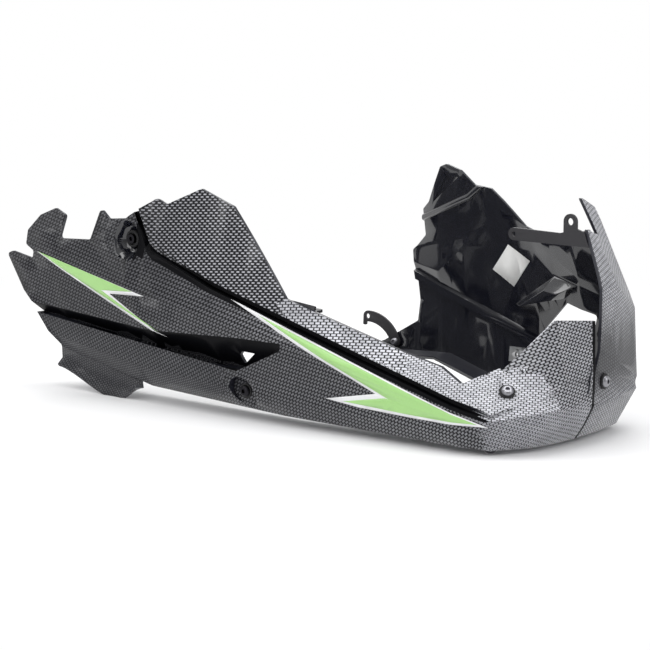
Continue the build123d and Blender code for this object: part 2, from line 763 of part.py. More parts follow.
with BuildPart() as right_rear_bracket:
    # plate on the inner face of the fin, standing above the strip's top edge
    plate_sections = []
    for x, plate_top in zip(right_plate_x, right_plate_top):
        top, lip = right_side(x)[:2]
        run = (lip[0] - top[0]) / (top[1] - lip[1])
        plate_low = lip[1] + groove_height / 2
        ends = [(top[0] + run * (top[1] - z), z) for z in (plate_top, plate_low)]
        plate_sections.append(cut_section(upright(x, 0, 0), sheet_profile(ends, wall + fit_gap, plate_t)))
    loft(plate_sections, ruled=True)
    # leg bent inwards, with the mounting hole
    leg_x = sum(right_leg_x) / 2
    top, lip = right_side(right_leg_x[1])[:2]
    plate_w = top[0] + (lip[0] - top[0]) * (top[1] - right_leg_z) / (top[1] - lip[1]) - wall - fit_gap - plate_t
    with BuildSketch(Plane.XY.offset(right_leg_z)):
        with Locations((leg_x, -plate_w + (right_leg_reach - right_leg_root) / 2)):
            leg = Rectangle(right_leg_x[1] - right_leg_x[0], right_leg_reach + right_leg_root)
        fillet(leg.vertices().group_by(Axis.Y)[-1], right_leg_r)
        with Locations((leg_x, -plate_w + right_leg_reach - mount_d - 2.0)):
            Circle(mount_d / 2, mode=Mode.SUBTRACT)
    extrude(amount=plate_t)

right_rear_bracket.part.label = "right_rear_bracket"
export_step(right_rear_bracket.part, "parts/right_rear_bracket.step")


def button_screw(seat, length=screw_length, head=head_d, under=washer_t):
    """Button-head screw above a washer that sits on the seat plane."""
    top = under + head_h
    with BuildPart() as screw:
        with BuildSketch(Plane(seat.origin, x_dir=seat.x_dir, z_dir=-seat.y_dir)):
            with BuildLine():
                Polyline(
                    (head * 0.3, top),
                    (0, top),
                    (0, under - length),
                    (thread_d / 2, under - length),
                    (thread_d / 2, under),
                    (head / 2, under),
                )
                ThreePointArc((head / 2, under), (head * 0.44, under + head_h * 0.62), (head * 0.3, top))
            make_face()
        revolve(axis=Axis(seat.origin, seat.z_dir))
        with BuildSketch(seat.offset(top)):
            RegularPolygon(socket_d / 2, 6, major_radius=False)
        extrude(amount=-socket_depth, mode=Mode.SUBTRACT)
    return screw.part


def flat_washer(seat):
    """Washer under a screw head."""
    with BuildPart() as washer:
        with BuildSketch(seat):
            Circle(washer_d / 2)
            Circle(hole_d / 2, mode=Mode.SUBTRACT)
        extrude(amount=washer_t)
    return washer.part


def clip_nut(seat, depth):
    """Spring-steel clip nut whose plate lies depth below the seat plane."""
    plate = seat.offset(-depth - fit_gap)
    with BuildPart() as nut:
        with BuildSketch(plate):
            RectangleRounded(nut_length, nut_w, 1.5)
        extrude(amount=-nut_t)
        with BuildSketch(plate):
            Circle(thread_d / 2 + 1.8)
        extrude(amount=-nut_t - nut_collar)
        with BuildSketch(plate):
            with GridLocations(0, nut_w - nut_t, 1, 2):
                Rectangle(nut_length - 4.0, nut_t)
        extrude(amount=-nut_t - nut_skirt)
        with BuildSketch(plate):
            Circle(hole_d / 2)
        extrude(amount=-nut_t - nut_collar, mode=Mode.SUBTRACT)
    return nut.part


with BuildPart() as tail_grommet:
    with BuildSketch(tail_seat):
        Circle(grommet_d / 2)
        Circle(hole_d / 2, mode=Mode.SUBTRACT)
    extrude(amount=grommet_h)
    with BuildSketch(tail_seat.offset(grommet_h)):
        Circle(bolt_head_d / 2 + grommet_lip)
    extrude(amount=-grommet_h / 2, mode=Mode.SUBTRACT)
    fillet(tail_grommet.edges().filter_by(GeomType.CIRCLE).sort_by(SortBy.LENGTH)[-2:], 0.8)

with BuildPart() as tail_bolt:
    with BuildSketch(tail_seat.offset(grommet_h / 2)):
        Circle(bolt_head_d / 2)
    extrude(amount=grommet_h)
    with BuildSketch(tail_seat.offset(grommet_h / 2)):
        Circle(thread_d / 2)
    extrude(amount=-screw_length)
    with BuildSketch(tail_seat.offset(grommet_h * 1.5)):
        RegularPolygon(socket_d / 2, 6, major_radius=False)
    extrude(amount=-socket_depth, mode=Mode.SUBTRACT)

strap_face = rear_wall_seat.offset(-wall - fit_gap - plate_t)
strap_seat = Plane(strap_face.origin, x_dir=(1, 0, 0), z_dir=-rear_wall_seat.z_dir)
pieces = {
    "tail_grommet": tail_grommet.part,
    "tail_bolt": tail_bolt.part,
    "side_screw": button_screw(side_seat),
    "side_washer": flat_washer(side_seat),
    "side_nut": clip_nut(side_seat, wall),
    "nose_screw": button_screw(nose_seat),
    "nose_washer": flat_washer(nose_seat),
    "nose_nut": clip_nut(nose_seat, wall),
    "seam_screw": button_screw(seam_seat, screw_length + wall),
    "seam_washer": flat_washer(seam_seat),
    "seam_nut": clip_nut(seam_seat, 2 * wall + tongue_gap),
    "right_foot_screw": button_screw(right_foot_seat),
    "right_foot_washer": flat_washer(right_foot_seat),
    "right_foot_nut": clip_nut(right_foot_seat, wall),
    "left_foot_screw": button_screw(left_foot_seat),
    "left_foot_washer": flat_washer(left_foot_seat),
    "left_foot_nut": clip_nut(left_foot_seat, wall),
    "front_foot_screw": button_screw(front_foot_seat),
    "front_foot_washer": flat_washer(front_foot_seat),
    "front_foot_nut": clip_nut(front_foot_seat, wall),
    "strap_screw": button_screw(strap_seat, screw_length, strap_head_d, 0),
    "strap_nut": clip_nut(strap_seat, wall + fit_gap + plate_t),
    "rear_clip": clip_nut(rear_clip_seat, wall),
    "front_clip": clip_nut(front_clip_seat, wall),
}
for name, piece in pieces.items():
    piece.label = name
    export_step(piece, f"parts/{name}.step")
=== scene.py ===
"""Looks of a two-piece motorcycle belly pan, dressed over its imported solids.

Named places and sizes are millimetres unless they say otherwise. Properties and meshes are in metres, in the
frame of the solids.
"""

from collections import namedtuple
from math import atan2, cos, hypot, radians, sin

import bmesh
import bpy
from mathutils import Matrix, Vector


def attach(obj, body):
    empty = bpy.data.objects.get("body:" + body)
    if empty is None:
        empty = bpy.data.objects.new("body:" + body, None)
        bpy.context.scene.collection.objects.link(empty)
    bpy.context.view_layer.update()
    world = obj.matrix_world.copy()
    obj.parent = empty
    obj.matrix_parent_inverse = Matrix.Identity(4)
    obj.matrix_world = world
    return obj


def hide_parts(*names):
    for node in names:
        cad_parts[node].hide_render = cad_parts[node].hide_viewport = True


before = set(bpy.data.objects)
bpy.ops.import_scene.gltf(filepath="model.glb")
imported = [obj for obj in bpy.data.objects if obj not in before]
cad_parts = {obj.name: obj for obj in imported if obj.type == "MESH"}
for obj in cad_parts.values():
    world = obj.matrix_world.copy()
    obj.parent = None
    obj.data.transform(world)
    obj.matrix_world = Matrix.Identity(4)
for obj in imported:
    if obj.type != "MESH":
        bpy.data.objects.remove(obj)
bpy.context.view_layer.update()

bl_info = {
    "name": "Belly Pan",
    "version": (1, 0, 0),
    "blender": (4, 5, 0),
    "location": "View3D > Sidebar > Belly Pan",
    "description": "Dresses the belly pan's two halves, brackets and fasteners",
    "category": "Object",
}

MM = 0.001

# Lines along the right half, (x, height) as in the solids: they part the printed film's zones, the bare black
# and the painted shade.
# The groove's middle line, with half its height at each x
GROOVE = ((-316.0, 221.0), (-150.0, 201.0), (-130.0, 157.0), (-121.0, 148.5), (-46.0, 121.0), (273.0, 35.0))
GROOVE_HALF = ((-316.0, 7.1), (-130.0, 7.1), (-121.0, 3.6), (273.0, 3.6))
# Lower and upper edge of the painted shade band along the groove, in front of the tail pocket
GROOVE_LIP = ((-130.0, 146.5), (-121.0, 139.0), (-46.0, 113.4), (273.0, 29.2))
GROOVE_TOP = ((-121.0, 152.1), (-46.0, 124.6), (273.0, 38.6))
# Upper and lower edge of the slot, whose dark inside is painted shade, lower edge of the side, and the fold
# along the side
SLOT = ((-316.0, 85.0), (-121.0, 71.0), (-7.0, 76.0), (46.0, 76.5))
RAIL = ((-316.0, 77.0), (-7.0, 45.0), (46.0, 69.5))
KEEL = ((-316.0, 58.0), (-244.0, 40.0), (-121.0, 16.0), (46.0, 9.0), (236.0, 4.8))
CREASE = ((-316.0, 146.0), (-121.0, 105.0), (46.0, 80.0), (236.0, 38.0))
# The left half's groove, with half its height: its faces take the painted shade
LEFT_GROOVE = ((-22.0, 135.0), (273.0, 35.0))
LEFT_GROOVE_HALF = 3.6

# Where the zones of the film change along x
STRIP_START = -46.0
SHELF_START = 180.0
WRAP_START = 262.0
RAIL_FRONT = -20.0
SLOT_FRONT = 46.0
# Top of the chin under the nose, and how far the low zone stays off the fold and the neck off the keel
CHIN_TOP = 40.0
CREASE_DROP = 8.0
KEEL_STEP = 1.0
# The slot's rear end, x and height: there its cut rim takes the painted shade
SLOT_TAIL = (-270.0, 100.0)
# The nose seam: in front of this x, and from this y on, the right half's front takes the painted shade, a
# painted shadow along the seam
SEAM_X = 255.0
SEAM_Y = -3.1

# Tail pocket: its middle, the y of its rim, its reach each way there, how much of that counts as the pocket
# and how fast it narrows with depth. In front of it a lip takes the painted shade, between two x and above a
# height.
POCKET_X = -151.0
POCKET_Z = 156.0
POCKET_RIM = -114.0
POCKET_REACH = (16.0, 22.0)
POCKET_EDGE = 1.02
POCKET_TAPER = 0.022
POCKET_LIP = (-141.0, -121.0)
POCKET_LIP_LOW = 138.0

# Plan of the nose: the middle of its corner on each side, and the radius that the film follows round it
NOSE_X = 240.0
NOSE_Y = 40.0
NOSE_RADIUS = 68.0
# Below BELLY_TOP the outside also looks down, and past SHELF_CORNER (x, y), on the right half's shelf, up.
# The shares say how much a normal's z counts there.
BELLY_TOP = 25.0
BELLY_SHARE = -0.6
SHELF_CORNER = (236.0, -30.0)
SHELF_SHARE = 0.9
# A face that looks out or in by less than this is a cut rim
EDGE_ON = 0.12
# A face whose normal has more z than this looks up, and one with less y than this looks to the right
FACES_UP = 0.35
FACES_RIGHT = -0.5

# Finishes of a half's faces, in the order of its materials: printed film, bare sheet, cut rim, and painted
# shade: a dark satin black put in the groove, the slot and the seam where they lie in shade
FILM, BARE, RIM, PAINTED_SHADE = range(4)

# How the film lies in a zone: turn of its rows in degrees, cell length and row height as shares of those on
# the fin, dark gap round a cell as a share of the cell, and knots of the painted light and shade: how bright
# the cells are printed, high on the lit fin, strip and shelf, low on the side, rail and neck, darker towards
# the tail and in the cheek's hollow; they run along x, and on the cheek up its height
Lay = namedtuple("Lay", "turn length height gap strength")
FILM_LAY = {
    "fin": Lay(4.0, 1.0, 1.0, 0.36, ((-316.0, 0.25), (-150.0, 0.44), (-40.0, 0.72), (236.0, 0.9))),
    "strip": Lay(4.0, 1.0, 1.05, 0.18, ((-60.0, 0.6), (20.0, 0.8), (110.0, 1.0), (236.0, 1.0))),
    "side": Lay(28.0, 0.97, 1.0, 0.26, ((-316.0, 0.11), (-100.0, 0.14), (60.0, 0.3), (273.0, 0.4))),
    "low": Lay(34.0, 0.86, 0.95, 0.26, ((-316.0, 0.1), (-100.0, 0.13), (100.0, 0.22), (273.0, 0.34))),
    "rail": Lay(78.0, 0.42, 1.0, 0.26, ((-316.0, 0.13), (-20.0, 0.16))),
    "neck": Lay(84.0, 0.42, 1.0, 0.2, ((-316.0, 0.11), (0.0, 0.13))),
    "pocket": Lay(0.0, 1.0, 1.0, 0.2, ((-316.0, 0.0), (273.0, 0.0))),
    "shelf": Lay(0.0, 0.78, 0.88, 0.14, ((180.0, 0.95), (320.0, 0.9))),
    "front": Lay(24.0, 0.8, 0.86, 0.22, ((262.0, 0.62), (320.0, 0.62))),
    "chin": Lay(24.0, 0.8, 0.82, 0.14, ((262.0, 0.45), (320.0, 0.6))),
    "cheek": Lay(
        -30.0,
        0.76,
        0.85,
        0.14,
        ((4.0, 0.5), (40.0, 0.4), (62.0, 0.09), (92.0, 0.09), (118.0, 0.5), (230.0, 0.65)),
    ),
}
# Zones whose film follows the plan outline, and zones whose slow bends aren't rounded
ROUND_THE_NOSE = ("low", "chin")
SLOW_ON_RIGHT = ("neck", "rail", "low", "chin")
SLOW_ON_LEFT = ("cheek",)

# The sheet's creases are sharper than the first angle, and the brackets' edges than the second, in degrees
CREASE_ANGLE = 21.0
BRACKET_ANGLE = 35.0
# Merging of the solids: welding distance, and the angle in degrees up to which neighbours make one flat face.
# Faces with many corners and more than WIDE_FACE, in square mm, aren't quite flat: they are parted again.
WELD = 0.01
FLAT = 0.3
WIDE_FACE = 4000.0
# How near a corner counts as on a cutting plane, in metres: for the sheets, and for the thin panes
ON_PLANE = 1e-6
ON_OUTLINE = 1e-7

# Flashes on the right half's side, (x, height). Each is two convex panes that share an edge.
REAR_EDGE = (
    ((-271.0, 135.0), (-121.7, 104.2), (-170.5, 102.0)),
    ((-271.0, 135.0), (-170.5, 102.0), (-102.4, 65.0), (-239.0, 120.5)),
)
REAR_FIELD = (
    ((-268.0, 134.6), (-137.5, 107.2), (-182.1, 104.4)),
    ((-268.0, 134.6), (-182.1, 104.4), (-109.0, 70.8), (-238.0, 121.6)),
)
FRONT_EDGE = (
    ((-33.3, 114.6), (271.0, 26.4), (154.9, 43.3), (100.9, 63.2), (45.6, 84.8)),
    ((99.7, 32.7), (154.9, 43.3), (271.0, 26.4), (240.3, 26.0), (189.5, 26.8), (137.1, 28.9)),
)
FRONT_FIELD = (
    ((10.8, 100.3), (260.5, 28.2), (165.5, 40.8), (103.0, 65.0), (47.0, 86.6)),
    ((119.4, 32.4), (165.5, 40.8), (260.5, 28.2), (236.0, 28.2), (189.6, 29.2)),
)
# Blank label on the left half's inside, (x, height)
LABEL = (((151.0, 156.0), (176.5, 142.2), (156.0, 115.6), (131.0, 130.0)),)
# How far the panes lie off the sheet, and the x that the flashes stay behind
PANE_LIFT = 0.2
FLASH_FRONT = 300.0

# Screws and bolt with a black finish. The other screws are bright.
BLACK_SCREWS = ("side_screw", "front_foot_screw", "left_foot_screw", "right_foot_screw", "tail_bolt")

# Round floor: its radius and the distances between which it fades to white, in metres, and its sides
FLOOR_RADIUS = 30.0
FLOOR_FADE = (0.25, 0.9)
FLOOR_SIDES = 96
# The studio is brightest this way and dimmest the other way. It goes from the low to the high level over the
# directions whose cosine with this way is between -SKY_TURN and SKY_TURN.
SKY_WAY = (-0.25, 0.62, 0.74)
SKY_LEVEL = (0.3, 0.8)
SKY_TURN = 0.7
# Each lamp's name, place, target and size in metres, and power in watts
SOFTBOXES = (
    ("overhead_softbox", (0.1, 0.1, 1.7), (0.0, 0.0, 0.1), 1.2, 12.0),
    ("back_softbox", (-0.9, 1.6, 1.0), (0.0, 0.0, 0.1), 1.0, 7.0),
    ("left_softbox", (-1.2, -0.7, 1.6), (0.05, 0.0, 0.1), 1.0, 7.0),
    ("nose_softbox", (1.9, 0.3, 0.9), (0.2, 0.0, 0.1), 0.9, 6.0),
    ("front_softbox", (0.3, -2.1, 1.1), (0.0, 0.0, 0.1), 1.4, 11.0),
)
# Camera: turn round the pan from its right side and rise above the floor in degrees, distance and target in
# metres, focal length and width of the photo in pixels, and width of the sensor
CAMERA_TURN = 40.0
CAMERA_RISE = 9.5
CAMERA_DISTANCE = 2.0
CAMERA_TARGET = (0.1391, -0.1593, 0.110)
PHOTO_FOCAL = 2300.0
PHOTO_WIDTH = 650.0
SENSOR = 36.0


def linear(text):
    """Linear colour of an sRGB hex value."""
    parts = [int(text[k : k + 2], 16) / 255 for k in (1, 3, 5)]
    return tuple(p / 12.92 if p <= 0.04045 else ((p + 0.055) / 1.055) ** 2.4 for p in parts)


def tone(name, description, text):
    """Colour property with its default as a hex value."""
    return bpy.props.FloatVectorProperty(
        name=name, description=description, subtype="COLOR", size=3, min=0, max=1, default=linear(text)
    )


def length(name, description, millimetres):
    """Length property with its default in millimetres."""
    return bpy.props.FloatProperty(
        name=name,
        description=description,
        unit="LENGTH",
        precision=5,
        min=0.01 * MM,
        default=millimetres * MM,
    )


class BellyPanSizes(bpy.types.PropertyGroup):
    """Sizes of the dressing."""

    crease_round: length("Crease rounding", "Rounding of the formed sheet's creases", 1.2)
    bracket_round: length("Bracket rounding", "Rounding of the coated bracket edges", 0.5)
    weave_pitch: length("Weave pitch", "Length of one printed cell on the fin", 6.2)
    weave_row: length("Weave row", "Height of one row of printed cells on the fin", 2.55)
    vinyl_thickness: length("Vinyl thickness", "Thickness of one layer of the flashes", 0.15)


class BellyPanColours(bpy.types.PropertyGroup):
    """Colours of the pan, its flashes and its hardware."""

    print_light: tone("Print, light", "Light cells of the printed film", "#E4E5EC")
    # print_dark at half its level is also the painted shade of the groove, the slot and the seam
    print_dark: tone("Print, dark", "Dark ground of the printed film, and satin black", "#101015")
    black_abs: tone("Black ABS", "Bare formed sheet and its cut rim", "#16171F")
    flash_green: tone("Flash", "Field of the flashes", "#A9DB86")
    flash_white: tone("Flash edge", "Edge of the flashes", "#F0F0F2")
    paper: tone("Label", "Blank label", "#F2F2F0")
    coat_black: tone("Bracket coat", "Powder coat of the brackets, and black screws", "#2C2B2F")
    rubber: tone("Rubber", "Washers and grommet", "#121214")
    steel: tone("Stainless", "Bright screws", "#96969B")
    zinc: tone("Zinc", "Nuts and clip nuts", "#C4C5C6")
    floor: tone("Floor", "Studio floor", "#F4F4F5")


class BellyPanLook(bpy.types.PropertyGroup):
    """All settings of the belly pan."""

    sizes: bpy.props.PointerProperty(type=BellyPanSizes)
    colours: bpy.props.PointerProperty(type=BellyPanColours)


def along(x, knots):
    """Value at x of a line given by its knots."""
    for (x_a, a), (x_b, b) in zip(knots, knots[1:]):
        if x <= x_b:
            return a + (b - a) * (x - x_a) / (x_b - x_a)
    return knots[-1][1]


def add_node(tree, kind, inputs=None, **settings):
    """Adds a node, sets its properties, and sets or links its inputs."""
    node = tree.nodes.new(kind)
    for key, value in settings.items():
        setattr(node, key, value)
    for key, value in (inputs or {}).items():
        if isinstance(value, bpy.types.NodeSocket):
            tree.links.new(value, node.inputs[key])
        else:
            node.inputs[key].default_value = value
    return node


def new_finish(name):
    """New material with an empty node tree and its output."""
    finish = bpy.data.materials.new(name)
    finish.use_nodes = True
    finish.node_tree.nodes.clear()
    return finish, finish.node_tree, add_node(finish.node_tree, "ShaderNodeOutputMaterial")


def shade(tree, output, **sockets):
    """Adds a principled shader with the given sockets and links it to the output."""
    names = {key.replace("_", " "): value for key, value in sockets.items()}
    shader = add_node(tree, "ShaderNodeBsdfPrincipled", names)
    tree.links.new(shader.outputs["BSDF"], output.inputs["Surface"])


def rgba(colour, level=1.0):
    """Colour of a socket, darkened or lightened by a factor."""
    return (*(min(1.0, c * level) for c in colour), 1.0)


def printed_abs(look):
    """ABS sheet, formed with a printed weave film under thin lacquer: pale cells on black, a soft sheen."""
    finish, tree, output = new_finish("printed_abs_lacquered")
    colours = look.colours
    film = add_node(tree, "ShaderNodeUVMap", uv_map="weave")
    # the second map carries the painted light and shade of the cells, and how wide the dark gap round them is
    ink = add_node(
        tree, "ShaderNodeSeparateXYZ", {0: add_node(tree, "ShaderNodeUVMap", uv_map="ink").outputs["UV"]}
    )
    cells = add_node(
        tree,
        "ShaderNodeTexBrick",
        {
            "Vector": film.outputs["UV"],
            "Color1": (1.0, 1.0, 1.0, 1.0),
            "Color2": (0.75, 0.75, 0.75, 1.0),
            "Mortar": (0.0, 0.0, 0.0, 1.0),
            "Scale": 1.0,
            "Mortar Size": ink.outputs["Y"],
            "Mortar Smooth": 0.6,
            "Brick Width": 1.0,
            "Row Height": 1.0,
        },
        offset=0.5,
    )
    place = add_node(tree, "ShaderNodeTexCoord")
    # the film stretched unevenly over the form, about 60 mm from light to dark
    stretch = add_node(
        tree,
        "ShaderNodeTexNoise",
        {"Vector": place.outputs["Object"], "Scale": 1 / (60 * MM), "Detail": 2.0, "Roughness": 0.5},
    )
    depth = add_node(
        tree,
        "ShaderNodeMapRange",
        {"Value": stretch.outputs["Fac"], "From Min": 0.3, "From Max": 0.7, "To Min": 0.85, "To Max": 1.1},
    )
    cover = add_node(
        tree,
        "ShaderNodeMath",
        {0: cells.outputs["Color"], 1: depth.outputs["Result"]},
        operation="MULTIPLY",
    )
    # the cells dimmed or brightened by the painted light and shade of their zone
    cover = add_node(
        tree, "ShaderNodeMath", {0: cover.outputs["Value"], 1: ink.outputs["X"]}, operation="MULTIPLY"
    )
    tinted = add_node(
        tree,
        "ShaderNodeMix",
        {
            "Factor": cover.outputs["Value"],
            "A": rgba(colours.print_dark),
            "B": rgba(colours.print_light),
        },
        data_type="RGBA",
    )
    # orange peel of the lacquer, 5 mm ripples
    peel = add_node(
        tree, "ShaderNodeTexNoise", {"Vector": place.outputs["Object"], "Scale": 1 / (5 * MM), "Detail": 1.0}
    )
    relief = add_node(
        tree, "ShaderNodeBump", {"Height": peel.outputs["Fac"], "Strength": 0.12, "Distance": 0.2 * MM}
    )
    shade(
        tree,
        output,
        Base_Color=tinted.outputs["Result"],
        Roughness=0.42,
        Specular_IOR_Level=0.2,
        Coat_Weight=0.22,
        Coat_Roughness=0.08,
        Coat_Normal=relief.outputs["Normal"],
    )
    return finish


def black_abs(look):
    """Black ABS sheet, vacuum formed: deep gloss with a slow ripple, faint dust in the polish."""
    finish, tree, output = new_finish("black_abs_formed")
    place = add_node(tree, "ShaderNodeTexCoord")
    ripple = add_node(
        tree, "ShaderNodeTexNoise", {"Vector": place.outputs["Object"], "Scale": 1 / (35 * MM), "Detail": 1.5}
    )
    relief = add_node(
        tree, "ShaderNodeBump", {"Height": ripple.outputs["Fac"], "Strength": 0.05, "Distance": 1.0 * MM}
    )
    haze = add_node(
        tree, "ShaderNodeTexNoise", {"Vector": place.outputs["Object"], "Scale": 1 / (12 * MM), "Detail": 4.0}
    )
    gloss = add_node(
        tree,
        "ShaderNodeMapRange",
        {"Value": haze.outputs["Fac"], "From Min": 0.35, "From Max": 0.7, "To Min": 0.08, "To Max": 0.15},
    )
    shade(
        tree,
        output,
        Base_Color=rgba(look.colours.black_abs),
        Roughness=gloss.outputs["Result"],
        IOR=1.53,
        Coat_Weight=1.0,
        Coat_Roughness=0.04,
        Normal=relief.outputs["Normal"],
        Coat_Normal=relief.outputs["Normal"],
    )
    return finish


def bare_rim(look):
    """ABS sheet, cut: the satin sawn rim of the sheet, with fine cutter marks."""
    finish, tree, output = new_finish("black_abs_cut_edge")
    place = add_node(tree, "ShaderNodeTexCoord")
    marks = add_node(
        tree,
        "ShaderNodeTexNoise",
        {"Vector": place.outputs["Object"], "Scale": 1 / (1.2 * MM), "Detail": 2.0},
    )
    relief = add_node(
        tree, "ShaderNodeBump", {"Height": marks.outputs["Fac"], "Strength": 0.2, "Distance": 0.2 * MM}
    )
    shade(
        tree,
        output,
        Base_Color=rgba(look.colours.black_abs, 1.6),
        Roughness=0.42,
        Normal=relief.outputs["Normal"],
    )
    return finish


def painted_shade_black(look):
    """Painted shade for the groove, the slot and the seam: a dark dry satin black where they lie in shade,
    with a dusty grain.
    """
    finish, tree, output = new_finish("black_painted_shade")
    place = add_node(tree, "ShaderNodeTexCoord")
    # grains of dust, drawn coarse, at 1.5 mm, so that they show
    dust = add_node(
        tree,
        "ShaderNodeTexNoise",
        {"Vector": place.outputs["Object"], "Scale": 1 / (1.5 * MM), "Detail": 2.0},
    )
    dry = add_node(
        tree, "ShaderNodeMapRange", {"Value": dust.outputs["Fac"], "To Min": 0.35, "To Max": 0.55}
    )
    # painted shade: half the print's dark ground
    shade(
        tree,
        output,
        Base_Color=rgba(look.colours.print_dark, 0.5),
        Roughness=dry.outputs["Result"],
        Specular_IOR_Level=0.08,
    )
    return finish


def vinyl(name, colour):
    """Vinyl film, printed and overlaminated: even colour, soft gloss, a faint grain from its adhesive."""
    finish, tree, output = new_finish(name)
    place = add_node(tree, "ShaderNodeTexCoord")
    grain = add_node(
        tree, "ShaderNodeTexNoise", {"Vector": place.outputs["Object"], "Scale": 1 / (2 * MM), "Detail": 2.0}
    )
    ink = add_node(
        tree,
        "ShaderNodeMix",
        {"Factor": grain.outputs["Fac"], "A": rgba(colour), "B": rgba(colour, 0.93)},
        data_type="RGBA",
    )
    relief = add_node(
        tree, "ShaderNodeBump", {"Height": grain.outputs["Fac"], "Strength": 0.08, "Distance": 0.1 * MM}
    )
    shade(
        tree,
        output,
        Base_Color=ink.outputs["Result"],
        Roughness=0.3,
        Coat_Weight=0.4,
        Coat_Roughness=0.1,
        Normal=relief.outputs["Normal"],
    )
    return finish


def label_paper(look):
    """Coated label paper, printed blank: matt white with paper fibre."""
    finish, tree, output = new_finish("label_paper_coated")
    place = add_node(tree, "ShaderNodeTexCoord")
    # paper fibre, drawn coarse, at 0.8 mm, so that it shows
    fibre = add_node(
        tree,
        "ShaderNodeTexNoise",
        {"Vector": place.outputs["Object"], "Scale": 1 / (0.8 * MM), "Detail": 3.0},
    )
    ground = add_node(
        tree,
        "ShaderNodeMix",
        {"Factor": fibre.outputs["Fac"], "A": rgba(look.colours.paper), "B": rgba(look.colours.paper, 0.92)},
        data_type="RGBA",
    )
    shade(tree, output, Base_Color=ground.outputs["Result"], Roughness=0.6)
    return finish


def powder_coat(look):
    """Mild steel, powder coated satin black: fine 0.8 mm orange peel, dull highlights."""
    finish, tree, output = new_finish("steel_powder_coated")
    place = add_node(tree, "ShaderNodeTexCoord")
    peel = add_node(
        tree,
        "ShaderNodeTexNoise",
        {"Vector": place.outputs["Object"], "Scale": 1 / (0.8 * MM), "Detail": 2.0},
    )
    relief = add_node(
        tree, "ShaderNodeBump", {"Height": peel.outputs["Fac"], "Strength": 0.3, "Distance": 0.2 * MM}
    )
    wear = add_node(
        tree, "ShaderNodeTexNoise", {"Vector": place.outputs["Object"], "Scale": 1 / (20 * MM), "Detail": 4.0}
    )
    body = add_node(
        tree,
        "ShaderNodeMix",
        {
            "Factor": wear.outputs["Fac"],
            "A": rgba(look.colours.coat_black, 0.85),
            "B": rgba(look.colours.coat_black, 1.2),
        },
        data_type="RGBA",
    )
    shade(tree, output, Base_Color=body.outputs["Result"], Roughness=0.5, Normal=relief.outputs["Normal"])
    return finish


def clean_metal(name, colour, low, high, fleck):
    """Machined, plated or blackened metal: a clean shine with duller and brighter flecks, sized in mm."""
    finish, tree, output = new_finish(name)
    place = add_node(tree, "ShaderNodeTexCoord")
    # tool marks and crystals, drawn coarser than the real ones, so that they show
    flecks = add_node(
        tree,
        "ShaderNodeTexNoise",
        {"Vector": place.outputs["Object"], "Scale": 1 / (fleck * MM), "Detail": 3.0},
    )
    polish = add_node(
        tree, "ShaderNodeMapRange", {"Value": flecks.outputs["Fac"], "To Min": low, "To Max": high}
    )
    shade(tree, output, Base_Color=rgba(colour), Metallic=1.0, Roughness=polish.outputs["Result"])
    return finish


def moulded_rubber(look):
    """EPDM rubber, moulded: matt near-black with a soft bloom."""
    finish, tree, output = new_finish("rubber_moulded")
    place = add_node(tree, "ShaderNodeTexCoord")
    bloom = add_node(
        tree, "ShaderNodeTexNoise", {"Vector": place.outputs["Object"], "Scale": 1 / (3 * MM), "Detail": 3.0}
    )
    body = add_node(
        tree,
        "ShaderNodeMix",
        {
            "Factor": bloom.outputs["Fac"],
            "A": rgba(look.colours.rubber, 0.8),
            "B": rgba(look.colours.rubber, 1.6),
        },
        data_type="RGBA",
    )
    shade(tree, output, Base_Color=body.outputs["Result"], Roughness=0.7)
    return finish


def part_faces(bm, faces, point, normal):
    """Cuts the faces in two where a plane meets them."""
    geom = {*faces, *(e for f in faces for e in f.edges), *(v for f in faces for v in f.verts)}
    bmesh.ops.bisect_plane(bm, geom=list(geom), plane_co=point, plane_no=normal, dist=ON_PLANE)


def score(bm, knots):
    """Parts the faces of a half along a line of the side view."""
    for (x_a, z_a), (x_b, z_b) in zip(knots, knots[1:]):
        faces = [f for f in bm.faces if x_a * MM < f.calc_center_median().x < x_b * MM]
        part_faces(bm, faces, Vector((x_a, 0.0, z_a)) * MM, Vector((z_b - z_a, 0.0, x_a - x_b)))


def merged_copy(node):
    """The node's mesh with its loose triangles joined, flat faces made whole and wide ones parted again."""
    bm = bmesh.new()
    bm.from_mesh(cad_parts[node].data)
    bmesh.ops.remove_doubles(bm, verts=bm.verts, dist=WELD * MM)
    bmesh.ops.dissolve_degenerate(bm, edges=bm.edges, dist=WELD * MM)
    bmesh.ops.dissolve_limit(
        bm, angle_limit=radians(FLAT), verts=bm.verts, edges=bm.edges, delimit={"NORMAL"}
    )
    wide = [f for f in bm.faces if len(f.verts) > 4 and f.calc_area() > WIDE_FACE * MM**2]
    bmesh.ops.triangulate(bm, faces=wide, quad_method="BEAUTY", ngon_method="BEAUTY")
    return bm


def finished(bm, name, finishes, slot, *stands_for):
    """Object at the origin from a bmesh, riding with the pan, in place of the nodes that it stands for."""
    mesh = bpy.data.meshes.new(name)
    for face in bm.faces:
        face.smooth = True
    bm.to_mesh(mesh)
    bm.free()
    piece = bpy.data.objects.new(name, mesh)
    bpy.context.scene.collection.objects.link(piece)
    for finish in finishes:
        mesh.materials.append(finish)
    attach(piece, "root")
    if stands_for:
        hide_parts(*stands_for)
    return piece


def round_edges(piece, width, angle=None):
    """Rounds the creases of a piece: those sharper than the angle, or the marked ones where none is given."""
    rounding = piece.modifiers.new("rounding", "BEVEL")
    rounding.width = width
    rounding.segments = 3
    rounding.limit_method = "WEIGHT"
    if angle is not None:
        rounding.limit_method = "ANGLE"
        rounding.angle_limit = radians(angle)
    rounding.profile = 0.5
    rounding.material = -1
    rounding.harden_normals = True


def film_reach(x, y):
    """Length along the plan outline of the pan at a point: straight sides, then round the nose."""
    turn = atan2(max(x - NOSE_X, 0.0), abs(y) - NOSE_Y)
    return min(x, NOSE_X) + NOSE_RADIUS * turn


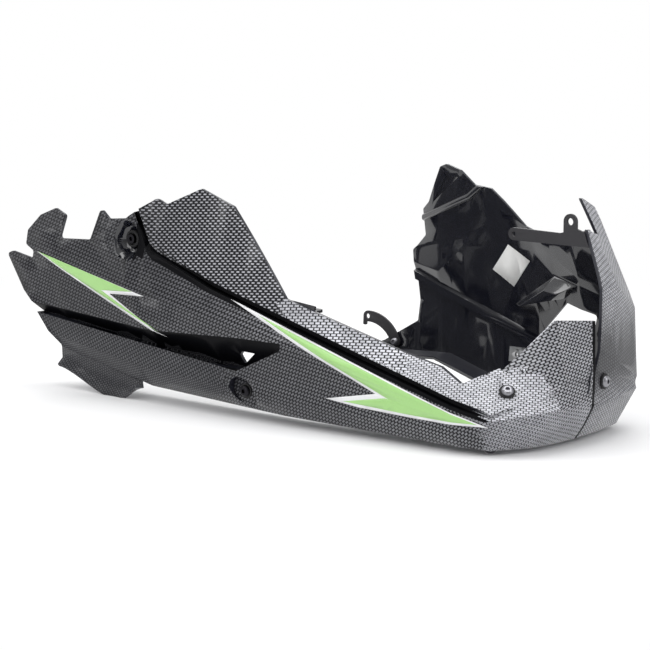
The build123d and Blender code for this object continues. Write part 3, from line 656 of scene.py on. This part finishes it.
def faces_out(centre, normal, side):
    """How far a face of a half looks to the outside of the pan; side is -1 on the right, 1 on the left."""
    out = Vector((max(centre.x - NOSE_X, 0.0), side * max(side * centre.y - NOSE_Y, 0.0), 0.0))
    # between the middles of the nose's two corners no way leads out, so the front counts
    out = out.normalized() if out.length > 1.0 else Vector((1.0, 0.0, 0.0))
    share = 0.0
    if centre.z < BELLY_TOP:
        share = BELLY_SHARE
    elif side < 0 and centre.x > SHELF_CORNER[0] and centre.y < SHELF_CORNER[1]:
        share = SHELF_SHARE
    return normal.dot(out) + share * normal.z


def right_zone(centre, normal):
    """Finish and zone of the film of a face of the right half."""
    x, z = centre.x, centre.z
    look_out = faces_out(centre, normal, -1)
    if look_out < -EDGE_ON:
        return BARE, "side"
    if look_out < EDGE_ON:
        # the slot's rear rim: painted shade
        return PAINTED_SHADE if x < SLOT_TAIL[0] and z < SLOT_TAIL[1] else RIM, "side"
    # the strip along the nose seam: painted shadow
    if x > SEAM_X and centre.y > SEAM_Y:
        return PAINTED_SHADE, "side"
    if x > WRAP_START:
        if normal.z > FACES_UP:
            return FILM, "shelf"
        return FILM, "front" if z > CHIN_TOP else "chin"
    mid = along(x, GROOVE)
    lip = mid - along(x, GROOVE_HALF) if x < GROOVE_LIP[0][0] else along(x, GROOVE_LIP)
    # the band along the groove: painted shade
    if lip < z < mid + along(x, GROOVE_HALF):
        return PAINTED_SHADE, "side"
    spread = hypot((x - POCKET_X) / POCKET_REACH[0], (z - POCKET_Z) / POCKET_REACH[1])
    if spread < POCKET_EDGE - POCKET_TAPER * max(centre.y - POCKET_RIM, 0.0):
        return BARE, "pocket"
    # the pocket's lip: painted shade
    if POCKET_LIP[0] < x < POCKET_LIP[1] and POCKET_LIP_LOW < z < mid:
        return PAINTED_SHADE, "side"
    if z > mid:
        if x > SHELF_START:
            return FILM, "shelf"
        return FILM, "strip" if x > STRIP_START and normal.z > FACES_UP else "fin"
    # the slot's inside: painted shade
    if x < SLOT_FRONT and along(x, RAIL) < z < along(x, SLOT):
        return PAINTED_SHADE, "side"
    if z < along(x, KEEL) - KEEL_STEP:
        return FILM, "neck"
    if z < along(x, RAIL):
        return FILM, "rail" if x < RAIL_FRONT else "low"
    return FILM, "low" if x > SLOT_FRONT and z < along(x, CREASE) - CREASE_DROP else "side"


def left_zone(centre, normal):
    """Finish and zone of the film of a face of the left half."""
    look_out = faces_out(centre, normal, 1)
    if look_out < -EDGE_ON:
        return BARE, "side"
    if look_out < EDGE_ON:
        return RIM, "side"
    if centre.x > WRAP_START:
        return FILM, "cheek"
    # the left groove: painted shade
    in_groove = abs(centre.z - along(centre.x, LEFT_GROOVE)) < LEFT_GROOVE_HALF
    return PAINTED_SHADE if in_groove else FILM, "side"


def mark_creases(bm, zone, slow_zones):
    """Marks the sheet's creases for rounding, apart from the pocket and the bends inside the slow zones."""
    crease = bm.edges.layers.float.new("bevel_weight_edge")
    kinds = {f: zone(f.calc_center_median() / MM, f.normal) for f in bm.faces}
    slow = {f for f, (finish, lay) in kinds.items() if finish == FILM and lay in slow_zones}
    pocket = {f for f, (finish, lay) in kinds.items() if lay == "pocket"}
    for edge in bm.edges:
        if len(edge.link_faces) == 2 and edge.calc_face_angle() > radians(CREASE_ANGLE):
            kept = slow.issuperset(edge.link_faces) or not pocket.isdisjoint(edge.link_faces)
            edge[crease] = 0.0 if kept else 1.0


def lay_film(bm, zone, sizes):
    """Gives each face its finish, and lays the film's cells flat over each zone of the outside."""
    weave = bm.loops.layers.uv.new("weave")
    # the second map: painted light and shade of the cells, and their dark gap
    ink = bm.loops.layers.uv.new("ink")
    zones = {}
    for face in bm.faces:
        face.material_index, name = zone(face.calc_center_median() / MM, face.normal)
        zones.setdefault(name, []).append(face)
    for name, faces in zones.items():
        lay = FILM_LAY[name]
        turn = radians(lay.turn)
        pitch, row = sizes.weave_pitch * lay.length / MM, sizes.weave_row * lay.height / MM
        printed = [f for f in faces if f.material_index == FILM]
        facing = sum((f.normal * f.calc_area() for f in printed), Vector()).normalized()
        level = Vector((0.0, 0.0, 1.0)).cross(facing).normalized()
        rise = facing.cross(level)
        for loop in (loop for face in faces for loop in face.loops):
            spot = loop.vert.co / MM
            u, v = spot.dot(level), spot.dot(rise)
            if name in ROUND_THE_NOSE:
                u, v = film_reach(spot.x, spot.y), spot.z
            u, v = u * cos(turn) + v * sin(turn), v * cos(turn) - u * sin(turn)
            loop[weave].uv = (u / pitch, v / row)
            # painted light and shade, read off the zone's knots along x, or up the cheek's height
            reach = spot.z if name == "cheek" else spot.x
            loop[ink].uv = (along(max(reach, lay.strength[0][0]), lay.strength), lay.gap)


def cut_pane(node, keep, outlines, lift, thickness):
    """Thin panes cut from the faces of a node that keep() picks, along convex outlines in the side view.

    Lift and thickness are in metres.
    """
    sheet = bmesh.new()
    for outline in outlines:
        pane = merged_copy(node)
        drop = [f for f in pane.faces if not keep(f.calc_center_median() / MM, f.normal)]
        bmesh.ops.delete(pane, geom=drop, context="FACES")
        middle = Vector((sum(p[0] for p in outline), 0.0, sum(p[1] for p in outline))) / len(outline)
        for (x_a, z_a), (x_b, z_b) in zip(outline, [*outline[1:], outline[0]]):
            normal = Vector((z_b - z_a, 0.0, x_a - x_b))
            start = Vector((x_a, 0.0, z_a))
            if normal.dot(middle - start) > 0:
                normal = -normal
            geom = [*pane.verts, *pane.edges, *pane.faces]
            bmesh.ops.bisect_plane(
                pane, geom=geom, plane_co=start * MM, plane_no=normal, clear_outer=True, dist=ON_OUTLINE
            )
        if not pane.faces:
            raise RuntimeError("an outline misses the face it lies on")
        part = bpy.data.meshes.new("pane")
        pane.to_mesh(part)
        pane.free()
        sheet.from_mesh(part)
        bpy.data.meshes.remove(part)
    bmesh.ops.remove_doubles(sheet, verts=sheet.verts, dist=2 * WELD * MM)
    sheet.normal_update()
    for vert in sheet.verts:
        vert.co += vert.normal * lift
    bmesh.ops.solidify(sheet, geom=sheet.faces[:], thickness=thickness)
    return sheet


class BELLYPAN_OT_right_half(bpy.types.Operator):
    """Dress the right half: printed film outside, bare sheet inside, painted shade in groove, slot and seam
    """

    bl_idname = "belly_pan.right_half"
    bl_label = "Right half"

    def execute(self, context):
        look = context.scene.belly_pan
        bm = merged_copy("right_panel")
        score(bm, GROOVE_LIP)
        score(bm, GROOVE_TOP)
        # a strip of the nose along the seam is parted off for the painted shadow
        nose = [f for f in bm.faces if f.calc_center_median().x > SEAM_X * MM]
        part_faces(bm, nose, Vector((0.0, SEAM_Y, 0.0)) * MM, Vector((0.0, 1.0, 0.0)))
        mark_creases(bm, right_zone, SLOW_ON_RIGHT)
        lay_film(bm, right_zone, look.sizes)
        finishes = [printed_abs(look), black_abs(look), bare_rim(look), painted_shade_black(look)]
        piece = finished(bm, "right_half", finishes, "printed_abs", "right_panel")
        round_edges(piece, look.sizes.crease_round)
        return {"FINISHED"}


class BELLYPAN_OT_left_half(bpy.types.Operator):
    """Dress the left half, with the right half's finishes: printed film outside, bare gloss sheet inside"""

    bl_idname = "belly_pan.left_half"
    bl_label = "Left half"

    def execute(self, context):
        look = context.scene.belly_pan
        bm = merged_copy("left_panel")
        mark_creases(bm, left_zone, SLOW_ON_LEFT)
        lay_film(bm, left_zone, look.sizes)
        finishes = bpy.data.objects["right_half"].data.materials
        piece = finished(bm, "left_half", finishes, "printed_abs", "left_panel")
        round_edges(piece, look.sizes.crease_round)
        return {"FINISHED"}


class BELLYPAN_OT_flashes(bpy.types.Operator):
    """Lay the two flashes on the right half, each a white edge under a green field"""

    bl_idname = "belly_pan.flashes"
    bl_label = "Flashes"

    def execute(self, context):
        look = context.scene.belly_pan
        thick = look.sizes.vinyl_thickness
        low, high = PANE_LIFT * MM, PANE_LIFT * MM + thick
        white = vinyl("vinyl_white_laminated", look.colours.flash_white)
        green = vinyl("vinyl_green_laminated", look.colours.flash_green)

        def side_face(centre, normal):
            outside = faces_out(centre, normal, -1) > EDGE_ON
            return outside and normal.y < FACES_RIGHT and centre.x < FLASH_FRONT

        for name, panes, lift, finish in (
            ("rear_flash_edge", REAR_EDGE, low, white),
            ("rear_flash_field", REAR_FIELD, high, green),
            ("front_flash_edge", FRONT_EDGE, low, white),
            ("front_flash_field", FRONT_FIELD, high, green),
        ):
            finished(cut_pane("right_panel", side_face, panes, lift, thick), name, [finish], "printed_abs")
        return {"FINISHED"}


class BELLYPAN_OT_label(bpy.types.Operator):
    """Stick the blank label on the inside of the left half"""

    bl_idname = "belly_pan.label"
    bl_label = "Label"

    def execute(self, context):
        look = context.scene.belly_pan

        def inner_face(centre, normal):
            return left_zone(centre, normal)[0] == BARE and normal.y < FACES_RIGHT

        sheet = cut_pane("left_panel", inner_face, LABEL, PANE_LIFT * MM, look.sizes.vinyl_thickness)
        finished(sheet, "blank_label", [label_paper(look)], "printed_abs")
        return {"FINISHED"}


class BELLYPAN_OT_brackets(bpy.types.Operator):
    """Dress the three steel brackets with rounded, powder coated edges"""

    bl_idname = "belly_pan.brackets"
    bl_label = "Brackets"

    def execute(self, context):
        look = context.scene.belly_pan
        coat = powder_coat(look)
        for name, node in (
            ("front_bracket_coated", "front_bracket"),
            ("left_rear_strap_coated", "left_rear_bracket"),
            ("right_rear_plate_coated", "right_rear_bracket"),
        ):
            piece = finished(merged_copy(node), name, [coat], "black_steel", node)
            round_edges(piece, look.sizes.bracket_round, BRACKET_ANGLE)
        return {"FINISHED"}


class BELLYPAN_OT_fasteners(bpy.types.Operator):
    """Give the screws, nuts, clip nuts, washers, grommet and bolt their metal and rubber"""

    bl_idname = "belly_pan.fasteners"
    bl_label = "Fasteners"

    def execute(self, context):
        look = context.scene.belly_pan
        colours = look.colours
        stainless = clean_metal("stainless_steel_machined", colours.steel, low=0.22, high=0.4, fleck=0.4)
        zinc = clean_metal("spring_steel_zinc_plated", colours.zinc, low=0.25, high=0.5, fleck=2.0)
        black_oxide = clean_metal("steel_black_oxide", colours.coat_black, low=0.3, high=0.5, fleck=0.6)
        rubber = moulded_rubber(look)
        for name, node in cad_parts.items():
            if name in BLACK_SCREWS:
                finish = black_oxide
            elif name.endswith("_screw"):
                finish = stainless
            elif name.endswith(("_nut", "_clip")):
                finish = zinc
            elif name.endswith(("_washer", "_grommet")):
                finish = rubber
            else:
                continue
            node.data.materials.clear()
            node.data.materials.append(finish)
        return {"FINISHED"}


def floor_paint(look):
    """Floor paint, matt: pale under the pan with its shadow, fading to white round it, and white in gloss."""
    finish, tree, output = new_finish("floor_painted_matt")
    place = add_node(tree, "ShaderNodeTexCoord")
    reach = add_node(tree, "ShaderNodeVectorMath", {0: place.outputs["Object"]}, operation="LENGTH")
    fade = add_node(
        tree,
        "ShaderNodeMapRange",
        {"Value": reach.outputs["Value"], "From Min": FLOOR_FADE[0], "From Max": FLOOR_FADE[1]},
        interpolation_type="SMOOTHSTEP",
    )
    path = add_node(tree, "ShaderNodeLightPath")
    seen = add_node(
        tree,
        "ShaderNodeMath",
        {0: path.outputs["Is Glossy Ray"], 1: path.outputs["Is Transmission Ray"]},
        operation="MAXIMUM",
    )
    share = add_node(
        tree,
        "ShaderNodeMath",
        {0: path.outputs["Is Camera Ray"], 1: fade.outputs["Result"]},
        operation="MULTIPLY",
    )
    share = add_node(
        tree,
        "ShaderNodeMath",
        {0: share.outputs["Value"], 1: seen.outputs["Value"]},
        operation="MAXIMUM",
    )
    paint = add_node(tree, "ShaderNodeBsdfDiffuse", {"Color": rgba(look.colours.floor)})
    glow = add_node(tree, "ShaderNodeEmission", {"Color": (1, 1, 1, 1), "Strength": 1.0})
    blend = add_node(
        tree,
        "ShaderNodeMixShader",
        {"Fac": share.outputs["Value"], 1: paint.outputs["BSDF"], 2: glow.outputs["Emission"]},
    )
    tree.links.new(blend.outputs["Shader"], output.inputs["Surface"])
    return finish


def studio_world():
    """White studio round the pan: bright behind and above it, dim on the side that the right half faces."""
    world = bpy.data.worlds.new("studio")
    world.use_nodes = True
    tree = world.node_tree
    tree.nodes.clear()
    place = add_node(tree, "ShaderNodeTexCoord")
    way = add_node(
        tree, "ShaderNodeVectorMath", {0: place.outputs["Generated"], 1: SKY_WAY}, operation="DOT_PRODUCT"
    )
    level = add_node(
        tree,
        "ShaderNodeMapRange",
        {
            "Value": way.outputs["Value"],
            "From Min": -SKY_TURN,
            "From Max": SKY_TURN,
            "To Min": SKY_LEVEL[0],
            "To Max": SKY_LEVEL[1],
        },
        interpolation_type="SMOOTHSTEP",
    )
    sky = add_node(
        tree, "ShaderNodeBackground", {"Color": (1, 1, 1, 1), "Strength": level.outputs["Result"]}
    )
    add_node(tree, "ShaderNodeOutputWorld", {"Surface": sky.outputs["Background"]})
    return world


def softbox(name, spot, target, size, power):
    """Square area lamp that looks at its target."""
    data = bpy.data.lights.new(name, "AREA")
    data.size = size
    data.energy = power
    lamp = bpy.data.objects.new(name, data)
    lamp.location = spot
    lamp.rotation_euler = (Vector(target) - Vector(spot)).to_track_quat("-Z", "Y").to_euler()
    return lamp


def photo_camera():
    """Camera at the photo's viewing angle and distance."""
    data = bpy.data.cameras.new("camera")
    data.sensor_width = SENSOR
    data.lens = SENSOR * PHOTO_FOCAL / PHOTO_WIDTH
    camera = bpy.data.objects.new("camera", data)
    turn, rise = radians(CAMERA_TURN), radians(CAMERA_RISE)
    back = Vector((sin(turn) * cos(rise), -cos(turn) * cos(rise), sin(rise)))
    camera.location = Vector(CAMERA_TARGET) + back * CAMERA_DISTANCE
    camera.rotation_euler = (-back).to_track_quat("-Z", "Y").to_euler()
    return camera


class BELLYPAN_OT_stage(bpy.types.Operator):
    """Set the pale floor, the soft studio light and the camera"""

    bl_idname = "belly_pan.stage"
    bl_label = "Stage"

    def execute(self, context):
        scene = context.scene
        scene.view_settings.view_transform = "Standard"
        bm = bmesh.new()
        bmesh.ops.create_circle(bm, cap_ends=True, radius=FLOOR_RADIUS, segments=FLOOR_SIDES)
        mesh = bpy.data.meshes.new("studio_floor")
        bm.to_mesh(mesh)
        bm.free()
        mesh.materials.append(floor_paint(scene.belly_pan))
        floor = bpy.data.objects.new("studio_floor", mesh)
        scene.collection.objects.link(floor)
        scene.world = studio_world()
        for lamp in SOFTBOXES:
            scene.collection.objects.link(softbox(*lamp))
        camera = photo_camera()
        scene.collection.objects.link(camera)
        scene.camera = camera
        return {"FINISHED"}


OPERATORS = (
    BELLYPAN_OT_right_half,
    BELLYPAN_OT_left_half,
    BELLYPAN_OT_flashes,
    BELLYPAN_OT_label,
    BELLYPAN_OT_brackets,
    BELLYPAN_OT_fasteners,
    BELLYPAN_OT_stage,
)


class BELLYPAN_PT_panel(bpy.types.Panel):
    """Belly pan pieces and their settings"""

    bl_idname = "BELLYPAN_PT_panel"
    bl_label = "Belly Pan"
    bl_space_type = "VIEW_3D"
    bl_region_type = "UI"
    bl_category = "Belly Pan"

    def draw(self, context):
        look = context.scene.belly_pan
        for group in (look.sizes, look.colours):
            column = self.layout.column(align=True)
            for key in group.__annotations__:
                column.prop(group, key)
        for operator in OPERATORS:
            self.layout.operator(operator.bl_idname)


CLASSES = (BellyPanSizes, BellyPanColours, BellyPanLook, *OPERATORS, BELLYPAN_PT_panel)


def register():
    for item in CLASSES:
        bpy.utils.register_class(item)
    bpy.types.Scene.belly_pan = bpy.props.PointerProperty(type=BellyPanLook)


def unregister():
    del bpy.types.Scene.belly_pan
    for item in reversed(CLASSES):
        bpy.utils.unregister_class(item)


def main():
    register()
    bpy.ops.belly_pan.right_half()
    bpy.ops.belly_pan.left_half()
    bpy.ops.belly_pan.flashes()
    bpy.ops.belly_pan.label()
    bpy.ops.belly_pan.brackets()
    bpy.ops.belly_pan.fasteners()
    bpy.ops.belly_pan.stage()


if __name__ == "__main__":
    main()
